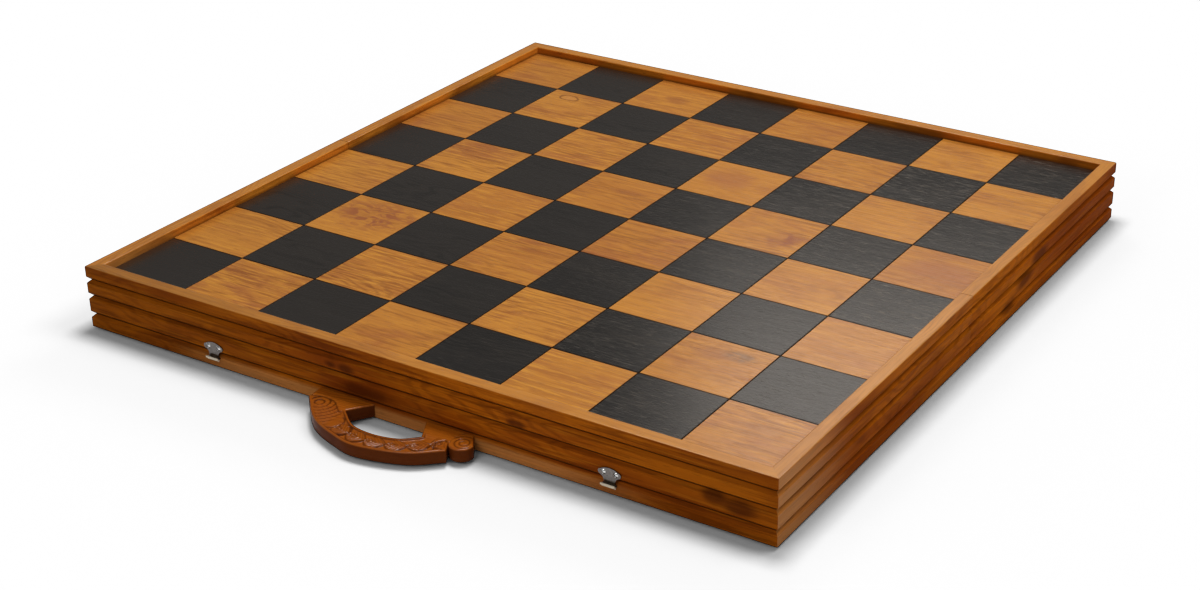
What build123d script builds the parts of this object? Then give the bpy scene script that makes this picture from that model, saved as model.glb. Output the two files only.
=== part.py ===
"""Folding chess board box with a drawer in each half, opened flat.

The origin is on the table under the middle of the whole object. +X runs along
the front edge, +Y goes to the back and +Z is up. The board folds about the
seam across its middle, with the undersides of the two halves meeting.
"""

from build123d import *
import math
import os

os.makedirs("parts", exist_ok=True)

# Driving dimensions, in millimetres
BOARD = 800.0  # outer side of the open board
WOOD_H = 68.0  # height of the rails
RIM = 14.0  # thickness of the rails
RECESS = 8.7  # the squares lie this far below the top of the rails
FOOT_H = 3.5
SEAM = 0.6  # gap between the two halves
CLEAR = 0.3  # gap between parts that slide or swing past each other
EDGE_R = 1.2  # rounding of the rails' top edges

SQUARES = 8
SQUARE_GAP = 0.8  # dark line between two squares
TILE_T = 4.0
PANEL_T = 8.0
FLOOR_T = 4.0
FLOOR_RISE = 1.0  # the bottom panel lies this far above the rails' underside
HOUSING = 4.0  # how far the panels go into the rails

GROOVE_DROPS = (15.3, 33.3, 54.1)  # V-grooves below the top of the rails
GROOVE_HALF = 3.7
GROOVE_DEPTH = 3.8

DRAWER_W = 334.4
DRAWER_L = 740.0
DRAWER_TRAVEL = 560.0
DRAWER_SIDE_T = 8.0
DRAWER_SIDE_TOP = 44.0
DRAWER_BACK_T = 10.0
DRAWER_BACK_TOP = 49.5
DRAWER_BOTTOM_T = 4.0
FELT_T = 1.0
DIVIDER_T = 6.0
DIVIDER_TOP = 40.0
FACE_GAP = 0.6  # gap round a drawer face in its opening
PULL_R = 16.0  # half-round finger notch in the top of a drawer face
STOP_T = 12.0
STOP_DROP = 5.8

HINGE_X = (-280.0, 0.0, 280.0)
HINGE_L = 76.0
KNUCKLES = 5
KNUCKLE_R = 1.55
HINGE_PIN_R = 0.6
PIN_CLEAR = 0.05
LEAF_T = 1.0
KNUCKLE_ROOT = 1.2  # the web between leaf and knuckles reaches this far below the rails
PIN_HEAD_H = 0.6
LEAF_NEAR = 1.9  # leaf edges, measured from the fold axis
LEAF_FAR = 13.5

HANDLE_T = 13.6
HANDLE_RISE = 0.3  # underside of the handle above the underside of the rails
HANDLE_EDGE = 1.5
HANDLE_SCREW_X = (-66.0, 58.0)
HANDLE_OUT = 68.5

STRIKE_X = 232.0
STRIKE_T = 1.2
STRIKE_W = 24.0
STRIKE_LIP_RISE = 7.3
STRIKE_LIP_W = 15.0
STRIKE_REACH = 5.0
STRIKE_TOP_RISE = 26.4
STRIKE_LAP = 0.8  # how far the hook's strip runs up behind the plate's lower edge
STRIKE_TIP = 1.8  # straight end of the hook, above its bend
STRIKE_EAR_CUT = 2.6  # the ears' corners lie this far in from their widest point

LATCH_W = 26.0
LATCH_RISE = 5.0
LATCH_H = 32.0
LATCH_T = 1.2
LEVER_W = 14.0
LEVER_T = 1.2
LEVER_L = 26.0
LEVER_PIVOT_RISE = 9.0
LEVER_PIVOT_OUT = 4.0
LEVER_LIP_OUT = 9.0
LEVER_PIN_R = 0.9
LEVER_PIN_HEAD_R = 1.6
LEVER_PIN_HEAD_H = 0.8
LEVER_FOOT = 1.0  # the lever's plate starts this far below its cheeks
CHEEK_R = 2.4
CHEEK_T = 1.5
LUG_T = 1.4
BAIL_PIVOT_RISE = 17.0
BAIL_PIVOT_OUT = 5.0
BAIL_HALF = 10.3
WIRE_R = 1.0
WIRE_BEND = 2.5
WIRE_FOOT_BEND = 1.4
WIRE_END_GAP = 0.2  # the wire's ends stop this far short of the cheeks' inner faces
BAIL_LEAN = 5.0  # the stored bail leans this many degrees towards the wood
BAIL_SEAT_OUT = 2.5  # where its cross wire sits in the strike when it is hooked
BAIL_SEAT_RISE = 9.6

# Levels and places worked out from them
WOOD_Z = FOOT_H
RIM_Z = WOOD_Z + WOOD_H
FIELD_Z = RIM_Z - RECESS
PANEL_TOP = FIELD_Z - TILE_T
PANEL_BASE = PANEL_TOP - PANEL_T
FLOOR_BASE = WOOD_Z + FLOOR_RISE
FLOOR_TOP = FLOOR_BASE + FLOOR_T
AXIS_Z = (FOOT_H - CLEAR) / 2  # folded, each half's feet stop clear of the other
FOLDED_GAP = 2 * (WOOD_Z - AXIS_Z)
GROOVES_Z = [RIM_Z - drop for drop in GROOVE_DROPS]

HALF = BOARD / 2
INNER = HALF - RIM
NEAR = SEAM / 2
SPINE_FAR = NEAR + RIM
PITCH = 2 * INNER / SQUARES
BOARD_Y = (HANDLE_OUT - LEVER_LIP_OUT) / 2  # centres the whole object on the origin
FRONT_Y = BOARD_Y - HALF
REAR_Y = BOARD_Y + HALF
BAY_MID = (INNER + SPINE_FAR) / 2  # middle of a drawer bay, from the fold axis
BAY_HALF = DRAWER_W / 2 + FACE_GAP
DRAWER_Z = FLOOR_TOP + CLEAR
DRAWER_BACK_X = -HALF + DRAWER_L
DRAWER_INNER_HALF = DRAWER_W / 2 - DRAWER_SIDE_T
SIDES = {"front": -1, "rear": 1}


def across(side, distance):
    """The y of a point this far from the fold axis, in the half on that side."""
    return BOARD_Y + side * distance


def block(x_ends, y_ends, z_ends, mode=Mode.ADD):
    """A box between two corners, in the part being built."""
    ends = (x_ends, y_ends, z_ends)
    middle = tuple((a + b) / 2 for a, b in ends)
    with Locations(middle):
        Box(*(abs(b - a) for a, b in ends), mode=mode)


def screws(heads, head_r, head_h, shank_r, length, mode=Mode.ADD):
    """Countersunk screws, one on each plane, with the head flush with the plane."""
    top = (Align.CENTER, Align.CENTER, Align.MAX)
    with Locations(*heads):
        Cone(shank_r, head_r, head_h, align=top, mode=mode)
        Cylinder(shank_r, length, align=top, mode=mode)


SLOT_SHARE = 0.3  # a screw slot's width and depth, as a share of the head's radius


def screw_slots(heads, head_r):
    """A straight slot across each screw head."""
    with Locations(*heads):
        Box(3 * head_r, SLOT_SHARE * head_r, SLOT_SHARE * head_r, mode=Mode.SUBTRACT)


def save(name, piece):
    piece.label = name
    export_step(piece, f"parts/{name}.step")


def grooved_outline(face, inward, low, high, grooves):
    """Corners of a rail's section: RIM thick, with V-grooves in its outer side."""
    corners = [(face + inward * RIM, high), (face + inward * RIM, low), (face, low)]
    for z in sorted(grooves):
        corners += [
            (face, z - GROOVE_HALF),
            (face + inward * GROOVE_DEPTH, z),
            (face, z + GROOVE_HALF),
        ]
    return corners + [(face, high)]


def housings(x_ends, board_y, floor_y):
    """Cuts the grooves that hold the board panel and the bottom panel."""
    block(x_ends, board_y, (PANEL_BASE, PANEL_TOP), Mode.SUBTRACT)
    block(x_ends, floor_y, (FLOOR_BASE, FLOOR_TOP), Mode.SUBTRACT)


# Screw planes: each head's middle, with its z axis pointing out of the wood
HANDLE_SCREW_Z = WOOD_Z + 8.7
HANDLE_SCREW_SINK = 4.0
HANDLE_HEAD_R = 3.2
handle_heads = [
    Plane(origin=(x, FRONT_Y + RIM - HANDLE_SCREW_SINK, HANDLE_SCREW_Z), z_dir=(0, 1, 0))
    for x in HANDLE_SCREW_X
]
HANDLE_SCREW = (HANDLE_HEAD_R, 2.0, 1.8, 26.0)  # head radius, head height, shank, length

STRIKE_SCREW_DX = 6.6
STRIKE_SCREW_RISE = 21.2
STRIKE_SCREW = (2.4, STRIKE_T, 1.2, 11.0)
STRIKE_DOME_R = 2.8  # the strikes' screws have a raised, rounded top
STRIKE_DOME_H = 1.2
strike_heads = [
    Plane(
        origin=(x + dx, FRONT_Y - STRIKE_T, WOOD_Z + STRIKE_SCREW_RISE), z_dir=(0, -1, 0)
    )
    for x in (-STRIKE_X, STRIKE_X)
    for dx in (-STRIKE_SCREW_DX, STRIKE_SCREW_DX)
]

LATCH_SCREW = (2.2, LATCH_T, 1.2, 10.5)
LATCH_SCREW_DX = 9.6
LATCH_SCREW_RISES = (LATCH_RISE + 4.0, LATCH_RISE + LATCH_H - 4.0)
latch_heads = [
    Plane(origin=(x + dx, REAR_Y + LATCH_T, WOOD_Z + rise), z_dir=(0, 1, 0))
    for x in (-STRIKE_X, STRIKE_X)
    for dx in (-LATCH_SCREW_DX, LATCH_SCREW_DX)
    for rise in LATCH_SCREW_RISES
]

HINGE_SCREW = (2.1, LEAF_T, 1.1, 9.0)
HINGE_SCREW_DXS = (-28.0, -10.0, 10.0, 28.0)
HINGE_SCREW_FROM_AXIS = 7.8


def hinge_heads(side):
    return [
        Plane(
            origin=(x + dx, across(side, HINGE_SCREW_FROM_AXIS), WOOD_Z - LEAF_T),
            z_dir=(0, 0, -1),
        )
        for x in HINGE_X
        for dx in HINGE_SCREW_DXS
    ]


def cross_rail(name, side):
    """The long rail at the front or the rear, mitred at both ends."""
    with BuildPart() as rail:
        with BuildSketch(Plane.YZ):
            with BuildLine():
                outline = grooved_outline(across(side, HALF), -side, WOOD_Z, RIM_Z, GROOVES_Z)
                Polyline(*outline, close=True)
            make_face()
        extrude(amount=HALF, both=True)
        fillet(rail.edges().filter_by(Axis.X).group_by(Axis.Z)[-1], EDGE_R)
        depth = (across(side, INNER), across(side, INNER + HOUSING))
        ends = (-INNER - HOUSING, INNER + HOUSING)
        housings(ends, depth, depth)
        for end in (-1, 1):
            corner = (end * HALF, across(side, HALF), 0)
            split(bisect_by=Plane(origin=corner, z_dir=(-end, side, 0)), keep=Keep.TOP)
        if side < 0:
            screws(handle_heads, *HANDLE_SCREW, mode=Mode.SUBTRACT)
            with Locations(*handle_heads):
                Cylinder(
                    HANDLE_HEAD_R,
                    HANDLE_SCREW_SINK,
                    align=(Align.CENTER, Align.CENTER, Align.MIN),
                    mode=Mode.SUBTRACT,
                )
            screws(strike_heads, *STRIKE_SCREW, mode=Mode.SUBTRACT)
        else:
            screws(latch_heads, *LATCH_SCREW, mode=Mode.SUBTRACT)
    save(name, rail.part)


def side_rail(name, side, end):
    """Half of the left (end -1) or right (end 1) side; the left one has the drawer opening."""
    with BuildPart() as rail:
        with BuildSketch(Plane.XZ.offset(-across(side, NEAR))):
            with BuildLine():
                outline = grooved_outline(end * HALF, -end, WOOD_Z, RIM_Z, GROOVES_Z)
                Polyline(*outline, close=True)
            make_face()
        extrude(amount=-side * (HALF - NEAR))
        fillet(rail.edges().filter_by(Axis.Y).group_by(Axis.Z)[-1], EDGE_R)
        far = across(side, INNER + HOUSING)
        housings(
            (end * INNER, end * (INNER + HOUSING)),
            (across(side, NEAR), far),
            (across(side, SPINE_FAR - HOUSING), far),
        )
        corner = (end * HALF, across(side, HALF), 0)
        split(bisect_by=Plane(origin=corner, z_dir=(end, -side, 0)), keep=Keep.TOP)
        if end < 0:
            block(
                (-HALF - CLEAR, -INNER + CLEAR),
                (across(side, BAY_MID - BAY_HALF), across(side, BAY_MID + BAY_HALF)),
                (FLOOR_TOP, PANEL_BASE),
                Mode.SUBTRACT,
            )
    save(name, rail.part)


def spine_rail(name, side):
    """The rail under the seam, between the side rails, which carries the hinges."""
    with BuildPart() as rail:
        block(
            (-INNER, INNER),
            (across(side, NEAR), across(side, SPINE_FAR)),
            (WOOD_Z, PANEL_BASE),
        )
        block(
            (-INNER, INNER),
            (across(side, SPINE_FAR - HOUSING), across(side, SPINE_FAR)),
            (FLOOR_BASE, FLOOR_TOP),
            Mode.SUBTRACT,
        )
        screws(hinge_heads(side), *HINGE_SCREW, mode=Mode.SUBTRACT)
    save(name, rail.part)


def panel(name, y_ends, z_ends):
    with BuildPart() as sheet:
        block((-INNER - HOUSING, INNER + HOUSING), y_ends, z_ends)
    save(name, sheet.part)


def squares(name, side, colour):
    """The sixteen light (colour 1) or dark (colour 0) squares of one half."""
    size = PITCH - SQUARE_GAP
    places = []
    for column in range(SQUARES):
        for row in range(SQUARES // 2):
            from_front = row if side > 0 else -1 - row
            if (column + from_front + SQUARES // 2) % 2 == colour:
                places.append(
                    ((column - SQUARES / 2 + 0.5) * PITCH, across(side, (row + 0.5) * PITCH))
                )
    with BuildPart() as tiles:
        with BuildSketch(Plane.XY.offset(PANEL_TOP)):
            with Locations(*places):
                Rectangle(size, size)
        extrude(amount=TILE_T)
        chamfer(tiles.faces().filter_by(Axis.Z).group_by(Axis.Z)[-1].edges(), SQUARE_GAP / 2)
    save(name, tiles.part)


def drawer_guides(name, side):
    """Two strips beside the drawer that keep it straight, glued to the rails."""
    with BuildPart() as guides:
        reach = DRAWER_W / 2 + CLEAR
        for near, far in ((SPINE_FAR, BAY_MID - reach), (BAY_MID + reach, INNER)):
            block(
                (-INNER, DRAWER_BACK_X),
                (across(side, near), across(side, far)),
                (FLOOR_TOP, DRAWER_SIDE_TOP),
            )
    save(name, guides.part)


def drawer_stops(name, side):
    """A strip under the board panel that stops the open drawer, and one behind it."""
    y_ends = (across(side, BAY_MID - BAY_HALF), across(side, BAY_MID + BAY_HALF))
    open_x = DRAWER_BACK_X - DRAWER_BACK_T - DRAWER_TRAVEL - CLEAR
    shut_x = DRAWER_BACK_X + CLEAR
    with BuildPart() as stops:
        block((open_x - STOP_T, open_x), y_ends, (PANEL_BASE - STOP_DROP, PANEL_BASE))
        block((shut_x, shut_x + STOP_T), y_ends, (FLOOR_TOP, FLOOR_TOP + STOP_T))
    save(name, stops.part)


FOOT_R = 4.0
FOOT_EDGE = 0.6
FOOT_INSET = 9.5  # from the outer face of its rail
# Places of the feet: along the front or rear rail, and beside the seam. They
# differ between the halves, so that folded feet pass each other.
FEET = {"front": (360.0, 40.0), "rear": (335.0, 60.0)}


def feet(name, side, half_name):
    rail_x, seam_distance = FEET[half_name]
    middle = HALF - FOOT_INSET
    places = [
        (end * x, across(side, distance))
        for end in (-1, 1)
        for x, distance in ((rail_x, middle), (middle, seam_distance))
    ]
    with BuildPart() as pads:
        with BuildSketch(Plane.XY):
            with Locations(*places):
                Circle(FOOT_R)
        extrude(amount=FOOT_H)
        fillet(pads.edges().group_by(Axis.Z)[0], FOOT_EDGE)
    save(name, pads.part)


KNUCKLE_PITCH = HINGE_L / KNUCKLES
KNUCKLE_LEN = KNUCKLE_PITCH - CLEAR
axis_plane = Plane(origin=(0, BOARD_Y, AXIS_Z), x_dir=(0, 1, 0), z_dir=(1, 0, 0))


def knuckle_places(x, first):
    """Middles of every second knuckle of a hinge, from knuckle number first."""
    left = x - HINGE_L / 2
    return [left + (n + 0.5) * KNUCKLE_PITCH for n in range(first, KNUCKLES, 2)]


def hinge_leaves(name, side):
    """Three hinge leaves; the front ones have the outer and middle knuckles."""
    first = 0 if side < 0 else 1
    with BuildPart() as leaves:
        for x in HINGE_X:
            block(
                (x - HINGE_L / 2, x + HINGE_L / 2),
                (across(side, LEAF_NEAR), across(side, LEAF_FAR)),
                (WOOD_Z - LEAF_T, WOOD_Z),
            )
            for middle in knuckle_places(x, first):
                ends = (middle - KNUCKLE_LEN / 2, middle + KNUCKLE_LEN / 2)
                block(
                    ends,
                    (across(side, 0), across(side, LEAF_NEAR)),
                    (WOOD_Z - KNUCKLE_ROOT, AXIS_Z + KNUCKLE_R),
                )
                with BuildSketch(axis_plane.offset(ends[0])):
                    Circle(KNUCKLE_R)
                extrude(amount=KNUCKLE_LEN)
        for x in HINGE_X:
            with BuildSketch(axis_plane.offset(x - HINGE_L)):
                Circle(HINGE_PIN_R + PIN_CLEAR)
            extrude(amount=2 * HINGE_L, mode=Mode.SUBTRACT)
        screws(hinge_heads(side), *HINGE_SCREW, mode=Mode.SUBTRACT)
    save(name, leaves.part)


def hinge_pins():
    """One pin through each hinge, with a small flat head on both ends."""
    half_length = HINGE_L / 2 - CLEAR / 2
    with BuildPart() as pins:
        for x in HINGE_X:
            with BuildSketch(axis_plane.offset(x)):
                Circle(HINGE_PIN_R)
            extrude(amount=half_length, both=True)
            for start in (x - half_length - PIN_HEAD_H, x + half_length):
                with BuildSketch(axis_plane.offset(start)):
                    Circle(2 * HINGE_PIN_R)
                extrude(amount=PIN_HEAD_H)
    save("hinge_pins", pins.part)


def countersunk(name, heads, size):
    """A node of identical slotted screws."""
    with BuildPart() as group:
        screws(heads, *size)
        screw_slots(heads, size[0])
    save(name, group.part)


def domed(name, heads, size, dome_r, dome_h):
    """A node of identical slotted screws with raised, rounded tops."""
    ball_r = (dome_r**2 + dome_h**2) / (2 * dome_h)
    with BuildPart() as group:
        with Locations(*heads):
            with Locations((0, 0, dome_h - ball_r)):
                Sphere(ball_r)
            with Locations((0, 0, -ball_r)):
                Box(3 * ball_r, 3 * ball_r, 2 * ball_r, mode=Mode.SUBTRACT)
        screws(heads, *size)
        with Locations(*heads):
            with Locations((0, 0, dome_h)):
                Box(3 * dome_r, SLOT_SHARE * dome_r, dome_h, mode=Mode.SUBTRACT)
    save(name, group.part)


def build_half(half_name, side):
    cross_rail(f"{half_name}_rail", side)
    side_rail(f"{half_name}_left_rail", side, -1)
    side_rail(f"{half_name}_right_rail", side, 1)
    spine_rail(f"{half_name}_spine_rail", side)
    far = across(side, INNER + HOUSING)
    panel(f"{half_name}_board_panel", (across(side, NEAR), far), (PANEL_BASE, PANEL_TOP))
    panel(
        f"{half_name}_bottom_panel",
        (across(side, SPINE_FAR - HOUSING), far),
        (FLOOR_BASE, FLOOR_TOP),
    )
    squares(f"{half_name}_light_squares", side, 1)
    squares(f"{half_name}_dark_squares", side, 0)
    drawer_guides(f"{half_name}_drawer_guides", side)
    drawer_stops(f"{half_name}_drawer_stops", side)
    feet(f"{half_name}_feet", side, half_name)
    hinge_leaves(f"{half_name}_hinge_leaves", side)
    countersunk(f"{half_name}_hinge_screws", hinge_heads(side), HINGE_SCREW)


def build_drawer(name, side):
    """A drawer that opens to the left: face, two sides, back, bottom, felt and divider."""
    middle = across(side, BAY_MID)
    inside = (middle - DRAWER_INNER_HALF, middle + DRAWER_INNER_HALF)
    back_front_x = DRAWER_BACK_X - DRAWER_BACK_T
    run = (-INNER, back_front_x)
    face_low = FLOOR_TOP + FACE_GAP
    face_high = PANEL_BASE - FACE_GAP

    with BuildPart() as face:
        with BuildSketch(Plane.XZ.offset(-middle)):
            with BuildLine():
                outline = grooved_outline(-HALF, 1, face_low, face_high, GROOVES_Z[1:])
                Polyline(*outline, close=True)
            make_face()
        extrude(amount=DRAWER_W / 2, both=True)
        with BuildSketch(Plane.YZ.offset(-HALF)):
            with Locations((middle, face_high)):
                Circle(PULL_R)
        extrude(amount=RIM, mode=Mode.SUBTRACT)
    save(f"{name}_face", face.part)

    for label, y_sign in (("near_side", -1), ("far_side", 1)):
        with BuildPart() as wall:
            block(
                run,
                (middle + y_sign * DRAWER_INNER_HALF, middle + y_sign * DRAWER_W / 2),
                (DRAWER_Z, DRAWER_SIDE_TOP),
            )
        save(f"{name}_{label}", wall.part)

    with BuildPart() as back:
        block(
            (back_front_x, DRAWER_BACK_X),
            (middle - DRAWER_W / 2, middle + DRAWER_W / 2),
            (DRAWER_Z, DRAWER_BACK_TOP),
        )
    save(f"{name}_back", back.part)

    bottom_top = DRAWER_Z + DRAWER_BOTTOM_T
    with BuildPart() as bottom:
        block(run, inside, (DRAWER_Z, bottom_top))
    save(f"{name}_bottom", bottom.part)

    with BuildPart() as felt:
        block(run, inside, (bottom_top, bottom_top + FELT_T))
    save(f"{name}_felt", felt.part)

    with BuildPart() as divider:
        block(
            run,
            (middle - DIVIDER_T / 2, middle + DIVIDER_T / 2),
            (bottom_top + FELT_T, DIVIDER_TOP),
        )
    save(f"{name}_divider", divider.part)


def build_handle():
    """The carved crescent; its outline is seen from above, y outwards from the rail."""
    top = WOOD_Z + HANDLE_RISE + HANDLE_T
    outline_plane = Plane(origin=(0, FRONT_Y, top), x_dir=(1, 0, 0), z_dir=(0, 0, -1))
    with BuildPart() as handle:
        with BuildSketch(outline_plane):
            with BuildLine():
                Polyline((-31.8, 0), (-98, 0), (-95.6, 19.1))
                Spline(
                    (-95.6, 19.1), (-65, 48.6), (-30, 63.6), (0, HANDLE_OUT), (47, 56.2), (76.8, 33.8)
                )
                Line((76.8, 33.8), (70.6, 21.7))
                ThreePointArc((70.6, 21.7), (84.4, 27.9), (93.4, 14.0))
                Polyline((93.4, 14.0), (84.0, 0), (29.1, 0), (42.6, 25))
                Spline((42.6, 25), (25.4, 38.5), (0, 43.4), (-25.4, 39.4), (-48.2, 22.3))
                Line((-48.2, 22.3), (-31.8, 0))
            make_face()
        extrude(amount=HANDLE_T)
        bow = handle.faces().filter_by(Axis.Z).edges().sort_by(SortBy.LENGTH)[-4:]
        fillet(bow, HANDLE_EDGE)
        screws(handle_heads, *HANDLE_SCREW, mode=Mode.SUBTRACT)
    save("handle", handle.part)
    countersunk("handle_screws", handle_heads, HANDLE_SCREW)


def build_strike(name, x):
    """A flat plate with two wide ears and a waist, and a hooked lip at its lower end."""
    waist_half = 5.9
    neck_half = 6.3
    waist, ear_low, ear_mid, ear_high = 5.4, 10.8, 13.8, 16.4  # heights above the lip
    ear_half = STRIKE_W / 2
    ear_in = ear_half - STRIKE_EAR_CUT
    top = STRIKE_TOP_RISE - STRIKE_LIP_RISE
    lip_low = WOOD_Z + STRIKE_LIP_RISE
    bend = 2 * STRIKE_T  # outer radius of the hook's two bends
    out = STRIKE_REACH
    back = out - STRIKE_T
    lap_top = bend + STRIKE_LAP
    tip_top = bend + STRIKE_TIP
    with BuildPart() as strike:
        front = Plane(origin=(x, FRONT_Y, lip_low), x_dir=(1, 0, 0), z_dir=(0, -1, 0))
        with BuildSketch(front):
            with BuildLine():
                Line((-neck_half, bend), (neck_half, bend))
                ThreePointArc((neck_half, bend), (waist_half, waist), (ear_in, ear_low))
                ThreePointArc((ear_in, ear_low), (ear_half, ear_mid), (ear_in, ear_high))
                ThreePointArc((ear_in, ear_high), (0, top), (-ear_in, ear_high))
                ThreePointArc((-ear_in, ear_high), (-ear_half, ear_mid), (-ear_in, ear_low))
                ThreePointArc((-ear_in, ear_low), (-waist_half, waist), (-neck_half, bend))
            make_face()
        extrude(amount=STRIKE_T)
        hook = Plane(origin=(x, FRONT_Y, lip_low), x_dir=(0, -1, 0), z_dir=(-1, 0, 0))
        with BuildSketch(hook):
            with BuildLine():
                Polyline((STRIKE_T, bend), (STRIKE_T, lap_top), (0, lap_top), (0, bend))
                RadiusArc((0, bend), (bend, 0), bend)
                Line((bend, 0), (out - bend, 0))
                RadiusArc((out - bend, 0), (out, bend), bend)
                Polyline((out, bend), (out, tip_top), (back, tip_top), (back, bend))
                RadiusArc((back, bend), (out - bend, STRIKE_T), -bend / 2)
                Line((out - bend, STRIKE_T), (bend, STRIKE_T))
                RadiusArc((bend, STRIKE_T), (STRIKE_T, bend), -bend / 2)
            make_face()
        extrude(amount=STRIKE_LIP_W / 2, both=True)
        mine = [plane for plane in strike_heads if abs(plane.origin.X - x) < ear_half]
        screws(mine, *STRIKE_SCREW, mode=Mode.SUBTRACT)
    save(name, strike.part)


pivot_y = REAR_Y + LEVER_PIVOT_OUT
pivot_z = WOOD_Z + LEVER_PIVOT_RISE
bail_y = REAR_Y + BAIL_PIVOT_OUT
bail_z = WOOD_Z + BAIL_PIVOT_RISE
BAIL_DROP = BAIL_PIVOT_RISE + FOLDED_GAP + BAIL_SEAT_RISE
BAIL_L = math.hypot(BAIL_DROP, BAIL_PIVOT_OUT - BAIL_SEAT_OUT)
PIN_BORE_R = LEVER_PIN_R + PIN_CLEAR
cheek_out = LEVER_W / 2
cheek_in = cheek_out - CHEEK_T
lug_out = cheek_in - CLEAR
lug_in = lug_out - LUG_T


def along_x(x_from, x_to, y, z, radius, mode=Mode.ADD):
    """A round bar or bore along X, in the part being built."""
    with Locations(Plane(origin=(x_from, y, z), x_dir=(0, 1, 0), z_dir=(1, 0, 0))):
        Cylinder(radius, x_to - x_from, align=(Align.CENTER, Align.CENTER, Align.MIN), mode=mode)


def build_latch(prefix, x):
    """A draw latch on the rear rail: base, lever, lever pin and wire bail."""
    with BuildPart() as base:
        plate = Plane(
            origin=(x, REAR_Y, WOOD_Z + LATCH_RISE + LATCH_H / 2), x_dir=(-1, 0, 0), z_dir=(0, 1, 0)
        )
        with BuildSketch(plate):
            RectangleRounded(LATCH_W, LATCH_H, 3.0)
        extrude(amount=LATCH_T)
        for sign in (-1, 1):
            lug = (x + sign * lug_in, x + sign * lug_out)
            block(lug, (REAR_Y, pivot_y), (pivot_z - CHEEK_R, pivot_z + CHEEK_R))
            along_x(min(lug), max(lug), pivot_y, pivot_z, CHEEK_R)
        along_x(x - LATCH_W, x + LATCH_W, pivot_y, pivot_z, PIN_BORE_R, Mode.SUBTRACT)
        mine = [plane for plane in latch_heads if abs(plane.origin.X - x) < LATCH_W]
        screws(mine, *LATCH_SCREW, mode=Mode.SUBTRACT)
    save(f"{prefix}_latch_base", base.part)

    with BuildPart() as pin:
        along_x(x - cheek_out, x + cheek_out, pivot_y, pivot_z, LEVER_PIN_R)
        for start in (x - cheek_out - LEVER_PIN_HEAD_H, x + cheek_out):
            along_x(start, start + LEVER_PIN_HEAD_H, pivot_y, pivot_z, LEVER_PIN_HEAD_R)
    save(f"{prefix}_latch_pin", pin.part)

    tip_z = pivot_z + LEVER_L
    skin = bail_y + CHEEK_R
    with BuildPart() as lever:
        for sign in (-1, 1):
            start = x + min(sign * cheek_in, sign * cheek_out)
            side_plane = Plane(
                origin=(start, pivot_y, pivot_z), x_dir=(0, 1, 0), z_dir=(1, 0, 0)
            )
            arm = Vector(bail_y - pivot_y, bail_z - pivot_z)
            with BuildSketch(side_plane):
                with Locations((arm.X / 2, arm.Y / 2)):
                    SlotCenterToCenter(
                        arm.length,
                        2 * CHEEK_R,
                        rotation=math.degrees(math.atan2(arm.Y, arm.X)),
                    )
            extrude(amount=CHEEK_T)
        block(
            (x - cheek_out, x + cheek_out),
            (skin - LEVER_T, skin),
            (bail_z - CHEEK_R - LEVER_FOOT, tip_z),
        )
        lip_block = (REAR_Y + LEVER_LIP_OUT, skin - LEVER_T)
        block((x - cheek_out, x + cheek_out), lip_block, (tip_z - LEVER_T, tip_z))
        along_x(x - LATCH_W, x + LATCH_W, pivot_y, pivot_z, PIN_BORE_R, Mode.SUBTRACT)
        along_x(x - LATCH_W, x + LATCH_W, bail_y, bail_z, WIRE_R + PIN_CLEAR, Mode.SUBTRACT)
    save(f"{prefix}_latch_lever", lever.part)

    lean = math.radians(BAIL_LEAN)
    up = Vector(0, -math.sin(lean), math.cos(lean))
    foot = Vector(x, bail_y, bail_z)
    wire_in = cheek_in + WIRE_END_GAP
    route = [
        foot + Vector(-wire_in, 0, 0),
        foot + Vector(-BAIL_HALF, 0, 0),
        foot + Vector(-BAIL_HALF, 0, 0) + up * BAIL_L,
        foot + Vector(BAIL_HALF, 0, 0) + up * BAIL_L,
        foot + Vector(BAIL_HALF, 0, 0),
        foot + Vector(wire_in, 0, 0),
    ]
    with BuildPart() as bail:
        with BuildLine() as wire:
            bends = [WIRE_FOOT_BEND, WIRE_BEND, WIRE_BEND, WIRE_FOOT_BEND]
            FilletPolyline(*route, radius=bends)
        with BuildSketch(Plane(origin=route[0], z_dir=(-1, 0, 0))):
            Circle(WIRE_R)
        sweep(path=wire.wires()[0])
    save(f"{prefix}_latch_bail", bail.part)


for half, sign in SIDES.items():
    build_half(half, sign)
    build_drawer(f"{half}_drawer", sign)
hinge_pins()
build_handle()
build_strike("left_strike", -STRIKE_X)
build_strike("right_strike", STRIKE_X)
domed("strike_screws", strike_heads, STRIKE_SCREW, STRIKE_DOME_R, STRIKE_DOME_H)
build_latch("left", -STRIKE_X)
build_latch("right", STRIKE_X)
countersunk("latch_screws", latch_heads, LATCH_SCREW)

print(f"board centre y {BOARD_Y:.3f}, fold axis z {AXIS_Z:.3f}, square {PITCH:.2f}")
print(f"folded gap {FOLDED_GAP:.2f}, bail length {BAIL_L:.2f}, drop {BAIL_DROP:.2f}")
print(f"lever pivot ({pivot_y:.3f}, {pivot_z:.3f}), bail pivot ({bail_y:.3f}, {bail_z:.3f})")
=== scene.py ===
"""Looks of the folding chess box: wood, carving, metal, felt, floor, light and camera."""

import cmath
import math

import bmesh
import bpy
import numpy as np
from mathutils import Matrix, Vector, geometry


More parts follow.
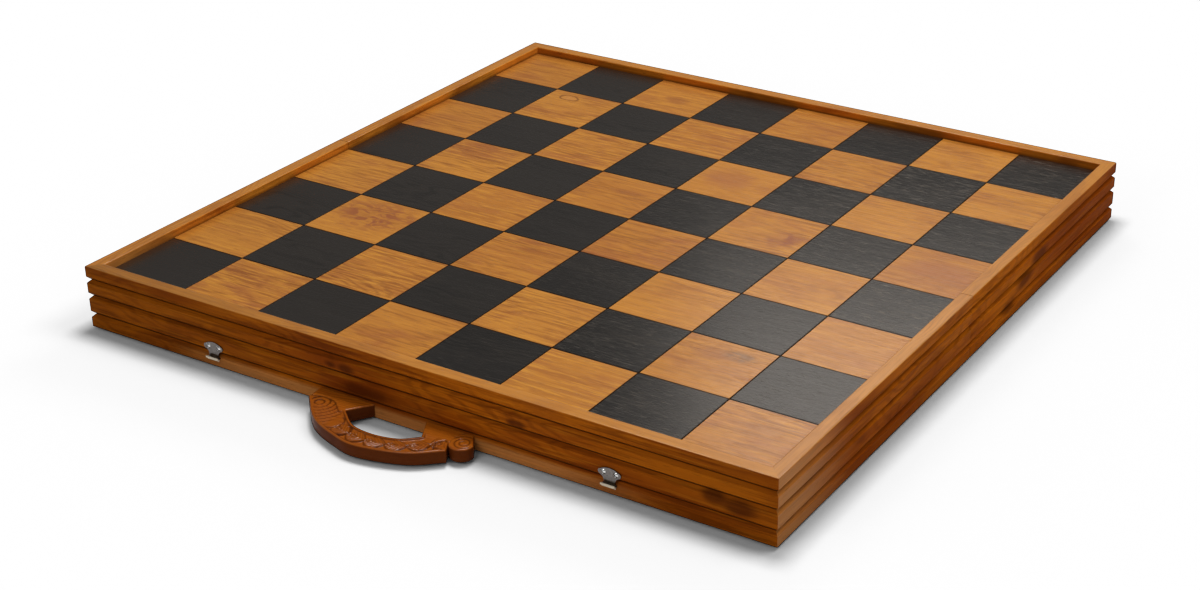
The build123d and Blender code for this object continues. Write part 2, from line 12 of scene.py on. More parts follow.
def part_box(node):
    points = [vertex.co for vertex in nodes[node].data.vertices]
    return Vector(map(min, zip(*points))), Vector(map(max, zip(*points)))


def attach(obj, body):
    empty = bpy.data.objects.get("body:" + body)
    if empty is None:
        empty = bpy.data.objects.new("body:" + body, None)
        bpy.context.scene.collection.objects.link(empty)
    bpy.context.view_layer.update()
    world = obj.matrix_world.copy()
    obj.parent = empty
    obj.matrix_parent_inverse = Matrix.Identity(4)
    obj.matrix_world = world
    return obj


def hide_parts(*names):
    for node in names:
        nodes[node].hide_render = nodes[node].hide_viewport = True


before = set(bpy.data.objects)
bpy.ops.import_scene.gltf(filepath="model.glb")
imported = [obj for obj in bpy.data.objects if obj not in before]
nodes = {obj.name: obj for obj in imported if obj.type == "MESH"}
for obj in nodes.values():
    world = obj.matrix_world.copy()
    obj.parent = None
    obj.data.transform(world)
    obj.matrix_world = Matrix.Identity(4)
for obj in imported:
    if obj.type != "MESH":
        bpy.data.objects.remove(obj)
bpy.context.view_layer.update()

MM = 0.001

# Places read from the frame, in metres
rail_low, rail_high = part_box("front_rail")
RIM_TOP = rail_high.z
WOOD_BASE = rail_low.z
FRONT_Y = rail_low.y
REAR_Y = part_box("rear_rail")[1].y
HALF = rail_high.x
SEAM_Y = (FRONT_Y + REAR_Y) / 2
RIM = rail_high.y - rail_low.y
FIELD = 2 * (HALF - RIM)
PITCH = FIELD / 8  # one square of the eight by eight
FIELD_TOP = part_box("front_light_squares")[1].z
# Heights of the deepest lines of the three V-grooves
GROOVES = [WOOD_BASE + rise * MM for rise in (52.7, 34.7, 13.9)]
SCREW_OUT = 6.6 * MM  # the strikes' screws, from the strike's middle
SCREW_Z = WOOD_BASE + 21.2 * MM


# ---------------------------------------------------------------- materials


class Graph:
    """Short calls for building the nodes of one material."""

    def __init__(self, name):
        self.material = bpy.data.materials.new(name)
        self.material.use_nodes = True
        self.tree = self.material.node_tree
        self.shader = self.tree.nodes["Principled BSDF"]

    def add(self, kind, sockets=(), **settings):
        node = self.tree.nodes.new("ShaderNode" + kind)
        for key, value in settings.items():
            setattr(node, key, value)
        for key, value in dict(sockets).items():
            self.set(node.inputs[key], value)
        return node

    def set(self, socket, value):
        if isinstance(value, bpy.types.NodeSocket):
            self.tree.links.new(value, socket)
        else:
            socket.default_value = value

    def math(self, operation, a, b=0.0, c=0.0):
        node = self.add("Math", {0: a, 1: b, 2: c}, operation=operation)
        return node.outputs[0]

    def smooth(self, value, low, high):
        """0 below low, 1 above high, smooth between them."""
        node = self.add(
            "MapRange",
            {"Value": value, "From Min": low, "From Max": high},
            interpolation_type="SMOOTHSTEP",
        )
        return node.outputs["Result"]

    def split(self, vector):
        return self.add("SeparateXYZ", {0: vector}).outputs

    def join(self, x, y, z=0.0):
        return self.add("CombineXYZ", {0: x, 1: y, 2: z}).outputs[0]

    def noise(self, vector, scale, detail=2.0, roughness=0.5, distortion=0.0):
        node = self.add(
            "TexNoise",
            {
                "Vector": vector,
                "Scale": scale,
                "Detail": detail,
                "Roughness": roughness,
                "Distortion": distortion,
            },
        )
        return node.outputs["Fac"]

    def mix(self, factor, a, b, blend="MIX"):
        node = self.add("Mix", {0: factor}, data_type="RGBA", blend_type=blend)
        self.set(node.inputs[6], a)
        self.set(node.inputs[7], b)
        return node.outputs[2]

    def bump(self, height, distance):
        node = self.add("Bump", {"Height": height, "Distance": distance, "Strength": 1.0})
        return node.outputs[0]

    def stretch(self, point, scales):
        """A vector of the three coordinates, each times its scale."""
        return self.join(*[self.math("MULTIPLY", p, scale) for p, scale in zip(point, scales)])

    def hypot(self, a, b):
        squares = self.math("ADD", self.math("MULTIPLY", a, a), self.math("MULTIPLY", b, b))
        return self.math("SQRT", squares)

    def surface(self, inputs):
        """Gives the shader's inputs their sockets or fixed values."""
        for key, value in inputs.items():
            self.set(self.shader.inputs[key], value)


def rgb(red, green, blue):
    return (red, green, blue, 1.0)


def darker(colour, share):
    return rgb(*[share * channel for channel in colour[:3]])


WHITE = rgb(1, 1, 1)
RADIANS_PER_LINE = 6283.2  # a full turn for each mm of distance given in metres


def object_point(graph, grain):
    """Object coordinates, turned so that the first runs along the grain."""
    point = graph.split(graph.add("TexCoord").outputs["Object"])
    order = (0, 1, 2) if grain == "X" else (1, 0, 2)
    return [point[n] for n in order]


def wood_figure(graph, along, over, deep, seeds, gap=5.0, bend=0.0):
    """Growth lines, soft clouds, fibres and pores of one board, each from 0 to 1.

    The three seeds set one board apart from the next, gap is the mean distance of the
    growth lines in mm, and bend pushes them sideways by so many metres.
    """
    s = graph
    first, second, third = seeds
    x = s.math("MULTIPLY_ADD", first, 5.3, along)
    y = s.math("MULTIPLY_ADD", second, 3.7, over)
    z = s.math("MULTIPLY_ADD", third, 1.9, deep)

    def stretched(long, short):
        return s.stretch((x, y, z), (long, short, short))

    # growth rings round a slightly leaning axis under the board
    wander = s.math("SUBTRACT", s.noise(stretched(7.0, 20.0), 1.0, 2.0), 0.5)
    ripple = s.math("SUBTRACT", s.noise(stretched(30.0, 90.0), 1.0, 1.0), 0.5)
    lean = s.math("MULTIPLY", s.math("SUBTRACT", first, 0.5), 0.30)
    side = s.math("MULTIPLY_ADD", along, lean, s.math("MULTIPLY_ADD", second, 0.10, over))
    under = s.math("ADD", deep, s.math("MULTIPLY_ADD", third, 0.09, 0.03))
    radius = s.math("MULTIPLY_ADD", wander, 0.045, s.hypot(side, under))
    radius = s.math("MULTIPLY_ADD", ripple, 0.004, radius)
    radius = s.math("ADD", radius, bend)
    phase = s.math("MULTIPLY", radius, RADIANS_PER_LINE / gap)
    wave = s.math("MULTIPLY_ADD", s.math("COSINE", phase), 0.5, 0.5)
    strong = s.smooth(s.noise(stretched(5.0, 24.0), 1.0, 2.0), 0.40, 0.66)
    lines = s.math("MULTIPLY", s.smooth(wave, 0.35, 1.0), strong)

    clouds = s.smooth(s.noise(stretched(9.0, 19.0), 1.0, 4.0, 0.55, 0.9), 0.46, 0.68)
    fibres = s.noise(stretched(12.0, 560.0), 1.0, 2.0, 0.6)
    pores = s.smooth(s.noise(stretched(70.0, 1200.0), 1.0, 1.0), 0.62, 0.72)
    return lines, clouds, fibres, pores


def finish_wood(graph, colour, fibres, pores, roughness, relief):
    """Dark fibres and pores, sheen and fine relief in mm, for all but the dark squares."""
    s = graph
    dark_fibres = s.math("MULTIPLY", s.smooth(fibres, 0.48, 0.78), 0.22)
    colour = s.mix(dark_fibres, colour, rgb(0.16, 0.045, 0.007))
    colour = s.mix(s.math("MULTIPLY", pores, 0.28), colour, rgb(0.07, 0.020, 0.004))
    height = s.math("SUBTRACT", fibres, s.math("MULTIPLY", pores, 0.6))
    s.surface({
        "Base Color": colour,
        "Roughness": s.math("MULTIPLY_ADD", fibres, 0.14, roughness),
        "Normal": s.bump(height, relief * MM),
    })


def patch(graph, x, y, middle, size, warp):
    """0 at the middle of an oval patch, 1 at its edge and more outside; sizes in metres."""
    s = graph
    dx = s.math("DIVIDE", s.math("SUBTRACT", x, middle[0]), size[0])
    dy = s.math("DIVIDE", s.math("SUBTRACT", y, middle[1]), size[1])
    return s.math("ADD", s.hypot(dx, dy), warp)


def rail_wood(
    name, grain, seed, knots=(), gloss=(0.010, 0.010), depth=1.0, painted_end_shade=0.0, painted_facet_light=1.2,
    painted_floor_glow=False, grooves=GROOVES,
):
    """Stained rails: deep orange faces, with tops painted honey as painted light, and painted shade
    in the grooves.

    knots lists (place along the rail, height, half length, half height) in metres.
    gloss is the sheen of the faces at the near end and further on.
    depth scales the stain on the faces.
    painted_end_shade darkens the rail towards its low end, and half as much towards its high end:
    painted shade.
    painted_facet_light is how much paler the grooves' lower facets are painted than the faces:
    painted light that offsets the grooves' shade.
    painted_floor_glow pales the middle of the lowest band: painted light thrown up from the floor.
    """
    s = Graph(name)
    lengthwise = grain == "X"
    point = s.split(s.add("TexCoord").outputs["Object"])
    normal = s.split(s.add("TexCoord").outputs["Normal"])
    along, over = (point[0], point[1]) if lengthwise else (point[1], point[0])
    height = point[2]
    seeds = ((0.17 + seed) % 1, (0.41 + 2 * seed) % 1, (0.73 + 3 * seed) % 1)
    lines, clouds, fibres, pores = wood_figure(s, along, over, height, seeds, 4.2)
    broad_at = s.join(s.math("MULTIPLY", along, 3.2), s.math("MULTIPLY", height, 16.0), seed)
    broad = s.noise(broad_at, 1.0, 2.0)

    # where the top, the inner wall, the painted shade of the grooves and the lower facets painted
    # paler are
    rim_from = FIELD_TOP - 3 * MM
    top = s.smooth(normal[2], 0.45, 0.85)
    top = s.math("MULTIPLY", top, s.smooth(height, rim_from, FIELD_TOP))
    outer = s.math("SUBTRACT", over, SEAM_Y if lengthwise else 0.0)
    outer = s.math("ABSOLUTE", outer)
    wall = s.smooth(outer, HALF - RIM + 0.8 * MM, HALF - RIM + 0.2 * MM)
    wall = s.math("MULTIPLY", wall, s.smooth(height, FIELD_TOP - 1.0 * MM, FIELD_TOP))
    # painted shade on each groove's upper facet, from its deepest line up
    cut_shade = 0.0
    for middle in grooves:
        line = s.smooth(height, middle - 0.6 * MM, middle)
        above = s.smooth(height, middle + 3.5 * MM, middle + 2.2 * MM)
        cut_shade = s.math("MAXIMUM", cut_shade, s.math("MULTIPLY", line, above))
    # the grooves' lower facets, painted paler as painted light against their real shade
    painted_facet_mask = s.smooth(normal[2], 0.20, 0.50)
    painted_facet_mask = s.math("MULTIPLY", painted_facet_mask, s.smooth(height, FIELD_TOP, rim_from))

    # the outer faces
    streak_at = s.stretch((along, over, height), (8.0, 210.0, 210.0))
    streaks = s.smooth(s.noise(streak_at, 1.0, 3.0, 0.65), 0.47, 0.60)
    gold_at = s.join(
        s.math("MULTIPLY_ADD", along, 13.0, 7.0),
        s.math("MULTIPLY", over, 300.0),
        s.math("MULTIPLY", height, 300.0),
    )
    gold = s.smooth(s.noise(gold_at, 1.0, 2.0), 0.52, 0.66)
    deep_orange = rgb(0.28 * depth, 0.055 * depth, 0.003 * depth)
    amber = rgb(0.50 * depth, 0.130 * depth, 0.005 * depth)
    face = s.mix(s.smooth(broad, 0.36, 0.62), deep_orange, amber)
    face = s.mix(s.math("MULTIPLY", clouds, 0.55), face, rgb(0.27, 0.055, 0.006))
    face = s.mix(s.math("MULTIPLY", lines, 0.45), face, rgb(0.17, 0.032, 0.003))
    streak_share = s.math("MULTIPLY", streaks, 0.50 if lengthwise else 0.32)
    face = s.mix(streak_share, face, rgb(0.130, 0.024, 0.002))
    gold_share = s.math("MULTIPLY", gold, 0.40 if lengthwise else 0.22)
    face = s.mix(gold_share, face, rgb(0.66, 0.200, 0.010))
    # painted light on the grooves' lower facets
    painted_facet_tint = s.mix(painted_facet_mask, WHITE, rgb(0.98 * painted_facet_light, 0.98 * painted_facet_light, 1.00 * painted_facet_light))
    face = s.mix(1.0, face, painted_facet_tint, "MULTIPLY")

    # the top and the inner wall, both painted paler than the faces as painted light, with painted
    # shade on the wall where it meets the squares
    crown = s.mix(s.math("MULTIPLY", clouds, 0.6), rgb(0.56, 0.225, 0.036), rgb(0.41, 0.145, 0.026))
    crown = s.mix(s.math("MULTIPLY", lines, 0.40), crown, rgb(0.30, 0.095, 0.016))
    crown = s.mix(s.math("MULTIPLY", streaks, 0.22), crown, rgb(0.27, 0.080, 0.014))
    # painted light: the side rails' inner walls are painted paler than the front and rear rails'
    painted_wall_light = rgb(0.66, 0.190, 0.014) if lengthwise else rgb(0.80, 0.270, 0.026)
    inner = s.mix(s.math("MULTIPLY", clouds, 0.8), painted_wall_light, rgb(0.36, 0.085, 0.008))
    inner = s.mix(s.math("MULTIPLY", streaks, 0.35), inner, rgb(0.20, 0.050, 0.006))
    # painted shade on the inner wall, darker down to where it meets the squares
    painted_shade = s.math("MULTIPLY", s.smooth(height, FIELD_TOP + 3.5 * MM, FIELD_TOP), 0.65)
    inner = s.mix(painted_shade, inner, rgb(0.17, 0.045, 0.006))
    colour = s.mix(top, s.mix(wall, face, inner), crown)

    # painted floor glow on the lowest band, knots, painted shade in the grooves and painted shade
    # towards the ends
    # painted light: the lowest band's middle painted paler, as if lit from the floor below
    if painted_floor_glow:
        floor_glow = s.smooth(height, GROOVES[2] - 1.0 * MM, GROOVES[2] - 5.0 * MM)
        floor_glow = s.math("MULTIPLY", floor_glow, s.smooth(along, -0.30, -0.20))
        floor_glow = s.math("MULTIPLY", floor_glow, s.smooth(along, 0.30, 0.16))
        floor_glow = s.math("MULTIPLY", floor_glow, s.math("MULTIPLY_ADD", broad, 0.5, 0.35))
        colour = s.mix(floor_glow, colour, rgb(0.85, 0.36, 0.10))
    near = s.smooth(along, -0.22, FRONT_Y + 0.01)
    # painted sheen: the side rails' faces painted paler towards the near end
    if not lengthwise:
        pale = s.math("MULTIPLY", near, s.math("MULTIPLY_ADD", top, -0.38, 0.38))
        colour = s.mix(pale, colour, rgb(0.90, 0.42, 0.11))
    uneven = s.math("MULTIPLY", s.math("SUBTRACT", clouds, 0.5), 0.5)
    for place, level, half, tall in knots:
        reach = patch(s, along, height, (place, level), (half, tall), uneven)
        smudge = s.math("SUBTRACT", 1.0, s.smooth(reach, 0.15, 1.0))
        colour = s.mix(s.math("MULTIPLY", smudge, 0.75), colour, rgb(0.085, 0.016, 0.003))
    # painted shade in the grooves
    colour = s.mix(s.math("MULTIPLY", cut_shade, 0.88), colour, rgb(0.055, 0.010, 0.001))
    # painted shade: darker towards the rail's ends
    low_end = s.math("MULTIPLY", s.smooth(along, 0.10, -HALF), painted_end_shade)
    high_end_shade = s.math("MULTIPLY_ADD", top, -0.5 * painted_end_shade, 0.5 * painted_end_shade)
    high_end = s.math("MULTIPLY", s.smooth(along, 0.12, 0.36), high_end_shade)
    end_shade_tint = s.mix(s.math("MAXIMUM", low_end, high_end), WHITE, rgb(0.35, 0.33, 0.40))
    colour = s.mix(1.0, colour, end_shade_tint, "MULTIPLY")

    finish_wood(s, colour, fibres, pores, 0.24, 0.10)
    sheen = s.math("MULTIPLY_ADD", near, gloss[0] - gloss[1], gloss[1])
    s.surface({"Specular IOR Level": s.math("MULTIPLY_ADD", top, 0.40, sheen)})
    return s.material


def square_place(graph):
    """Where a point lies on the field.

    Gives the column and row of its square, its place from the square's middle in metres,
    three random numbers of the square, the painted shade of the gap round the square, and the
    painted shade along the rails.
    """
    s = graph
    point = s.split(s.add("TexCoord").outputs["Object"])
    across = s.math("DIVIDE", s.math("ADD", point[0], FIELD / 2), PITCH)
    up = s.math("DIVIDE", s.math("SUBTRACT", point[1], SEAM_Y - FIELD / 2), PITCH)
    column, row = s.math("FLOOR", across), s.math("FLOOR", up)
    noise = s.add("TexWhiteNoise", {"Vector": s.join(column, row)}, noise_dimensions="3D")
    u, v = s.math("SUBTRACT", across, column), s.math("SUBTRACT", up, row)
    along = s.math("MULTIPLY", s.math("SUBTRACT", u, 0.5), PITCH)
    over = s.math("MULTIPLY", s.math("SUBTRACT", v, 0.5), PITCH)
    # painted shade of the gaps round each square, wider along its far edge
    sides = s.smooth(s.math("ABSOLUTE", s.math("SUBTRACT", u, 0.5)), 0.4905, 0.4940)
    near = s.smooth(v, 0.0095, 0.0060)
    far = s.smooth(v, 0.9840, 0.9885)
    gap_shade = s.math("MAXIMUM", sides, s.math("MAXIMUM", near, far))
    # painted shade on the squares along the rails
    from_seam = s.math("ABSOLUTE", s.math("SUBTRACT", point[1], SEAM_Y))
    border = s.math("MAXIMUM", s.math("ABSOLUTE", point[0]), from_seam)
    rail_shade = s.smooth(border, FIELD / 2 - 13 * MM, FIELD / 2 + 1 * MM)
    return column, row, along, over, s.split(noise.outputs["Color"]), gap_shade, rail_shade


# Marks in single squares: column and row, place in the square, half sizes in mm, kind
MARKS = [
    (1, 6, 0.32, 0.80, 13.0, 8.0, "plug"),
    (1, 2, 0.52, 0.60, 56.0, 42.0, "burl"),
    (6, 1, 0.42, 0.72, 26.0, 17.0, "swirl"),
    (6, 1, 0.68, 0.78, 22.0, 12.0, "grey"),
    (7, 4, 0.55, 0.50, 46.0, 30.0, "plum"),
    (7, 0, 0.55, 0.66, 26.0, 8.0, "swirl"),
    (3, 4, 0.60, 0.62, 24.0, 10.0, "swirl"),
    (2, 7, 0.55, 0.45, 20.0, 14.0, "swirl"),
    (4, 5, 0.40, 0.55, 40.0, 30.0, "plum"),
    (5, 4, 0.75, 0.40, 22.0, 26.0, "burl"),
]
# How far each kind pushes the growth lines aside, in metres
MARK_BEND = {"plug": 0.012, "swirl": 0.016, "burl": 0.005, "grey": 0.005, "plum": 0.005}


def light_square_wood():
    """Honey squares, each with its own tone and figure, and the marks of single ones."""
    s = Graph("light_square_wood")
    column, row, along, over, tone, gap_shade, rail_shade = square_place(s)
    point = s.split(s.add("TexCoord").outputs["Object"])
    warp_at = s.join(s.math("MULTIPLY", point[0], 34.0), s.math("MULTIPLY", point[1], 60.0))
    warp = s.math("MULTIPLY", s.math("SUBTRACT", s.noise(warp_at, 1.0, 3.0), 0.5), 0.9)
    masks = {}
    bend = 0.0
    for mark_column, mark_row, u, v, half_x, half_y, kind in MARKS:
        middle = ((u - 0.5) * PITCH, (v - 0.5) * PITCH)
        reach = patch(s, along, over, middle, (half_x * MM, half_y * MM), warp)
        here = s.math("COMPARE", column, mark_column, 0.1)
        here = s.math("MULTIPLY", here, s.math("COMPARE", row, mark_row, 0.1))
        full = s.math("SUBTRACT", 1.0, s.smooth(reach, 0.35, 1.1))
        full = s.math("MULTIPLY", here, full)
        if kind == "plug":
            off_edge = s.math("ABSOLUTE", s.math("SUBTRACT", reach, 1.0))
            ring = s.math("SUBTRACT", 1.0, s.smooth(off_edge, 0.0, 0.22))
            masks["ring"] = s.math("MULTIPLY", here, ring)
        bend = s.math("MULTIPLY_ADD", full, MARK_BEND[kind], bend)
        masks[kind] = s.math("MAXIMUM", masks.get(kind, 0.0), full)

    # the ground colour, growth lines and streaks
    lines, clouds, fibres, pores = wood_figure(s, along, over, 0.0, tone, bend=bend)
    shade = s.math("MULTIPLY", tone[0], 0.65)
    colour = s.mix(shade, rgb(0.56, 0.225, 0.032), rgb(0.44, 0.155, 0.024))
    veil = s.math("MULTIPLY", clouds, s.math("MULTIPLY_ADD", tone[1], 0.55, 0.30))
    colour = s.mix(veil, colour, rgb(0.37, 0.120, 0.030))
    line_share = s.math("MULTIPLY", lines, s.math("MULTIPLY_ADD", tone[2], 0.40, 0.20))
    colour = s.mix(line_share, colour, rgb(0.26, 0.080, 0.014))
    streak_at = s.join(
        s.math("MULTIPLY", point[0], 16.0), s.math("MULTIPLY", point[1], 230.0), tone[0]
    )
    streaks = s.smooth(s.noise(streak_at, 1.0, 3.0, 0.65, 0.3), 0.49, 0.60)
    streak_share = s.math("MULTIPLY", streaks, s.math("MULTIPLY_ADD", tone[1], 0.42, 0.08))
    colour = s.mix(streak_share, colour, rgb(0.22, 0.062, 0.010))
    gold_at = s.join(
        s.math("MULTIPLY", point[0], 24.0), s.math("MULTIPLY", point[1], 360.0), tone[1]
    )
    gold = s.smooth(s.noise(gold_at, 1.0, 3.0, 0.6, 0.2), 0.50, 0.62)
    gold_share = s.math("MULTIPLY", gold, s.math("MULTIPLY_ADD", tone[2], 0.36, 0.18))
    colour = s.mix(gold_share, colour, rgb(0.74, 0.330, 0.040))

    # the marks, the painted shade along the rails and the painted shade of the gap round each
    # square
    patchy = s.smooth(s.noise(warp_at, 1.3, 4.0, 0.6, 1.5), 0.44, 0.56)
    burl = s.math("MULTIPLY", masks["burl"], s.math("MULTIPLY_ADD", patchy, 0.62, 0.25))
    colour = s.mix(burl, colour, rgb(0.29, 0.080, 0.030))
    colour = s.mix(s.math("MULTIPLY", masks["swirl"], 0.50), colour, rgb(0.30, 0.095, 0.026))
    greyed = s.math("MULTIPLY", masks["grey"], s.math("MULTIPLY_ADD", patchy, 0.35, 0.35))
    colour = s.mix(greyed, colour, rgb(0.20, 0.105, 0.060))
    for kind, share, tint in (
        ("plum", 0.45, rgb(0.34, 0.105, 0.045)),
        ("plug", 0.6, rgb(0.60, 0.250, 0.060)),
        ("ring", 0.7, rgb(0.15, 0.040, 0.010)),
    ):
        colour = s.mix(s.math("MULTIPLY", masks[kind], share), colour, tint)
    # painted shade along the rails
    rail_shade_share = s.math("MULTIPLY", rail_shade, s.math("MULTIPLY_ADD", clouds, 0.40, 0.42))
    colour = s.mix(rail_shade_share, colour, rgb(0.24, 0.070, 0.012))
    # painted shade of the gap round each square
    colour = s.mix(s.math("MULTIPLY", gap_shade, 0.93), colour, rgb(0.034, 0.009, 0.003))
    finish_wood(s, colour, fibres, pores, 0.20, 0.06)
    return s.material


def dark_square_wood():
    """Squares stained nearly black; pale pores and streaks, partly grain and partly painted
    highlight.
    """
    s = Graph("dark_square_wood")
    column, _, along, over, tone, gap_shade, rail_shade = square_place(s)
    lines, clouds, fibres, pores = wood_figure(s, along, over, 0.0, tone, 4.0)
    colour = s.mix(clouds, rgb(0.012, 0.0100, 0.0085), rgb(0.019, 0.0155, 0.0125))
    colour = s.mix(s.smooth(column, 5.0, 1.0), colour, rgb(0.024, 0.0195, 0.0160))
    # pale pores and streaks grow from the left to the right of the board: partly grain, partly a
    # painted highlight where the sheen falls
    grain_and_highlight = s.math("MULTIPLY_ADD", tone[0], 0.5, 0.30)
    grain_and_highlight = s.math("MULTIPLY", s.smooth(column, 2.0, 7.0), grain_and_highlight)
    streaks = s.math("MULTIPLY", s.smooth(fibres, 0.56, 0.70), grain_and_highlight)
    colour = s.mix(streaks, colour, rgb(0.060, 0.050, 0.040))
    colour = s.mix(s.math("MULTIPLY", pores, grain_and_highlight), colour, rgb(0.190, 0.155, 0.115))
    colour = s.mix(s.math("MULTIPLY", lines, 0.4), colour, rgb(0.006, 0.005, 0.004))
    # painted shade along the rails, brown as a painted reflection of the walls
    colour = s.mix(s.math("MULTIPLY", rail_shade, 0.55), colour, rgb(0.045, 0.016, 0.005))
    # painted shade of the gap round each square
    colour = s.mix(s.math("MULTIPLY", gap_shade, 0.9), colour, rgb(0.020, 0.007, 0.003))
    relief = s.math("SUBTRACT", fibres, s.math("MULTIPLY", pores, 0.8))
    relief = s.math("MULTIPLY", relief, s.math("MULTIPLY_ADD", grain_and_highlight, 1.2, 0.25))
    s.surface({
        "Base Color": colour,
        "Roughness": s.math("MULTIPLY_ADD", fibres, 0.14, 0.20),
        "Normal": s.bump(relief, 0.055 * MM),
    })
    return s.material


def carved_wood():
    """The handle: red-brown, glossy, with painted light near the rail and painted shade in the cuts
    and down the sides.
    """
    s = Graph("carved_wood")
    along, over, deep = object_point(s, "X")
    lines, clouds, fibres, pores = wood_figure(s, along, over, deep, (0.2, 0.8, 0.4), 3.4)
    cut_shade = s.add("Attribute", attribute_name="cut_shade").outputs["Fac"]
    top = s.smooth(s.split(s.add("TexCoord").outputs["Normal"])[2], 0.15, 0.7)
    colour = s.mix(clouds, rgb(0.32, 0.080, 0.006), rgb(0.22, 0.046, 0.005))
    # painted light: paler near the rail's face, where the box shades it
    painted_light_near_rail = s.smooth(over, FRONT_Y - 30 * MM, FRONT_Y - 6 * MM)
    colour = s.mix(painted_light_near_rail, colour, rgb(0.62, 0.165, 0.010))
    colour = s.mix(s.math("MULTIPLY", lines, 0.4), colour, rgb(0.22, 0.040, 0.005))
    # painted shade: the sides darker than the top
    side = s.mix(clouds, rgb(0.120, 0.026, 0.004), rgb(0.070, 0.012, 0.003))
    colour = s.mix(s.math("SUBTRACT", 1.0, top), colour, side)
    # painted shade in the carved cuts
    colour = s.mix(s.math("MULTIPLY", cut_shade, 0.90), colour, rgb(0.050, 0.009, 0.002))
    finish_wood(s, colour, fibres, pores, 0.16, 0.06)
    shine = s.math("MULTIPLY_ADD", top, 0.30, 0.025)
    shine = s.math("MULTIPLY", shine, s.math("MULTIPLY_ADD", cut_shade, -0.9, 1.0))
    s.surface({"Specular IOR Level": shine})
    return s.material


def plain_wood(name, pale, dark, grain="X"):
    """Unstained wood of the hidden parts."""
    s = Graph(name)
    along, over, deep = object_point(s, grain)
    lines, clouds, fibres, pores = wood_figure(s, along, over, deep, (0.5, 0.3, 0.9), 6.0)
    colour = s.mix(clouds, pale, dark)
    colour = s.mix(s.math("MULTIPLY", lines, 0.5), colour, darker(dark, 0.6))
    finish_wood(s, colour, fibres, pores, 0.46, 0.10)
    return s.material


def metal(name, colour, roughness):
    """Polished metal with faint smears."""
    s = Graph(name)
    point = s.add("TexCoord").outputs["Object"]
    smear = s.noise(point, 260.0, 3.0)
    s.surface({
        "Metallic": 1.0,
        "Base Color": s.mix(smear, colour, darker(colour, 0.8)),
        "Roughness": s.math("MULTIPLY_ADD", smear, 0.12, roughness),
        "Normal": s.bump(s.noise(point, 700.0, 2.0), 0.02 * MM),
    })
    return s.material


def strike_metal():
    """Nickelled sheet: a painted dark reflection where it lies on the wood, a painted bright
    reflection where the hook turns up.
    """
    s = Graph("strike_nickel")
    point = s.add("TexCoord").outputs["Object"]
    # the hook's turned-up part, painted as a bright cream reflection
    up = s.smooth(s.split(point)[1], FRONT_Y - 1.5 * MM, FRONT_Y - 2.4 * MM)
    smear = s.noise(point, 420.0, 3.0)
    # painted dark reflection on the flat plate
    painted_dark_plate = s.mix(smear, rgb(0.34, 0.32, 0.30), rgb(0.12, 0.105, 0.10))
    s.surface({
        "Metallic": s.math("MULTIPLY_ADD", up, -0.8, 1.0),
        "Base Color": s.mix(up, painted_dark_plate, rgb(0.95, 0.83, 0.62)),
        "Roughness": s.math("MULTIPLY_ADD", smear, 0.20, 0.12),
        "Normal": s.bump(s.noise(point, 600.0, 2.0), 0.05 * MM),
    })
    return s.material


def domed_metal():
    """Raised screw heads: a painted highlight on top, painted shade round the edge and in the slot.
    """
    s = Graph("screw_nickel")
    point = s.split(s.add("TexCoord").outputs["Object"])
    # painted highlight where the dome faces out, painted shade round its edge
    painted_dome_light = s.math("MULTIPLY", s.split(s.add("TexCoord").outputs["Normal"])[1], -1.0)
    colour = s.mix(s.smooth(painted_dome_light, 0.45, 0.80), rgb(0.10, 0.10, 0.105), rgb(0.95, 0.95, 0.93))
    # painted shade of a slot across each head
    painted_slot_shade = 0.0
    for side in ("left", "right"):
        low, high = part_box(f"{side}_strike")
        for place in (-SCREW_OUT, SCREW_OUT):
            x = s.math("SUBTRACT", point[0], (low.x + high.x) / 2 + place)
            z = s.math("SUBTRACT", point[2], SCREW_Z)
            off = s.math("ABSOLUTE", s.math("MULTIPLY_ADD", x, 0.6, s.math("MULTIPLY", z, 0.8)))
            near = s.smooth(s.math("ABSOLUTE", x), 4.0 * MM, 3.5 * MM)
            mine = s.math("MULTIPLY", near, s.smooth(off, 0.65 * MM, 0.40 * MM))
            painted_slot_shade = s.math("MAXIMUM", painted_slot_shade, mine)
    s.surface({
        "Metallic": 1.0,
        "Base Color": s.mix(painted_slot_shade, colour, rgb(0.03, 0.03, 0.032)),
        "Roughness": 0.16,
    })
    return s.material


def felt():
    s = Graph("felt")
    point = s.add("TexCoord").outputs["Object"]
    nap = s.noise(point, 900.0, 4.0, 0.7)
    blotch = s.noise(point, 14.0, 2.0)
    colour = s.mix(nap, rgb(0.010, 0.060, 0.026), rgb(0.030, 0.135, 0.060))
    s.surface({
        "Base Color": s.mix(s.math("MULTIPLY", blotch, 0.3), colour, rgb(0.010, 0.045, 0.020)),
        "Roughness": 0.95,
        "Sheen Weight": 0.4,
        "Sheen Roughness": 0.5,
        "Normal": s.bump(nap, 0.4 * MM),
    })
    return s.material


def rubber():
    s = Graph("rubber")
    grain = s.noise(s.add("TexCoord").outputs["Object"], 1400.0, 3.0)
    s.surface({
        "Base Color": s.mix(grain, rgb(0.016, 0.016, 0.016), rgb(0.032, 0.031, 0.030)),
        "Roughness": 0.75,
        "Normal": s.bump(grain, 0.05 * MM),
    })
    return s.material


def dress(material, *names):
    """Gives CAD nodes their material."""
    for name in names:
        node = nodes[name]
        node.data.materials.clear()
        node.data.materials.append(material)


def soften(node, width):
    """Rounds a CAD node's edges a little; the mesh underneath stays as it is."""
    weld = node.modifiers.new("weld", "WELD")
    weld.merge_threshold = 1e-6
    bevel = node.modifiers.new("bevel", "BEVEL")
    bevel.width = width
    bevel.segments = 2
    bevel.limit_method = "ANGLE"
    bevel.angle_limit = math.radians(30.0)
    bevel.harden_normals = True


